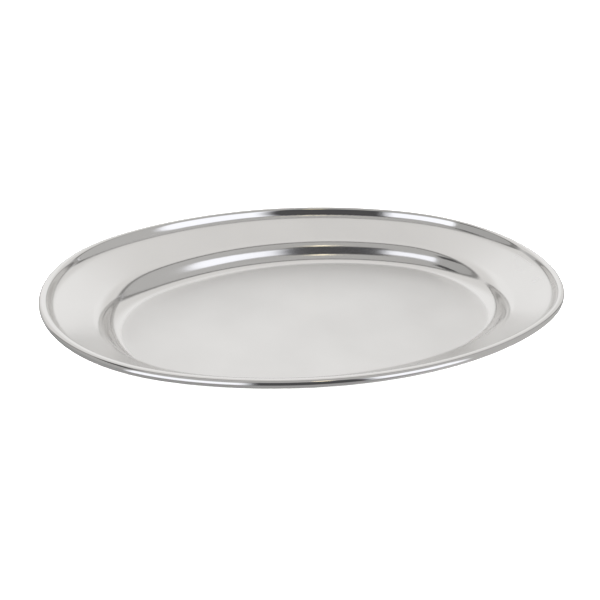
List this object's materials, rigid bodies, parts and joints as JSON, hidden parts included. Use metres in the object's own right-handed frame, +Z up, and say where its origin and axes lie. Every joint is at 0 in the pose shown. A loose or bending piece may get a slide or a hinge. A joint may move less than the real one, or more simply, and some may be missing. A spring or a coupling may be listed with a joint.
{
  "type": "oval serving tray",
  "caption": "Oval serving tray of pressed steel sheet: flat well, sloping rim flange and an upturned edge curled over a round wire.",
  "frame": {"origin": "underside of the floor, at the middle of the oval", "axes": "+X along the tray's length, +Y across it, +Z up"},
  "size_m": [0.3, 0.216, 0.029],
  "materials": {
    "tray_sheet": "bright polished stainless sheet",
    "edge_wire": "drawn steel wire"
  },
  "bodies": {
    "root": {"pressed_dish": "tray_sheet", "rim_wire": "edge_wire"}
  },
  "joints": []
}
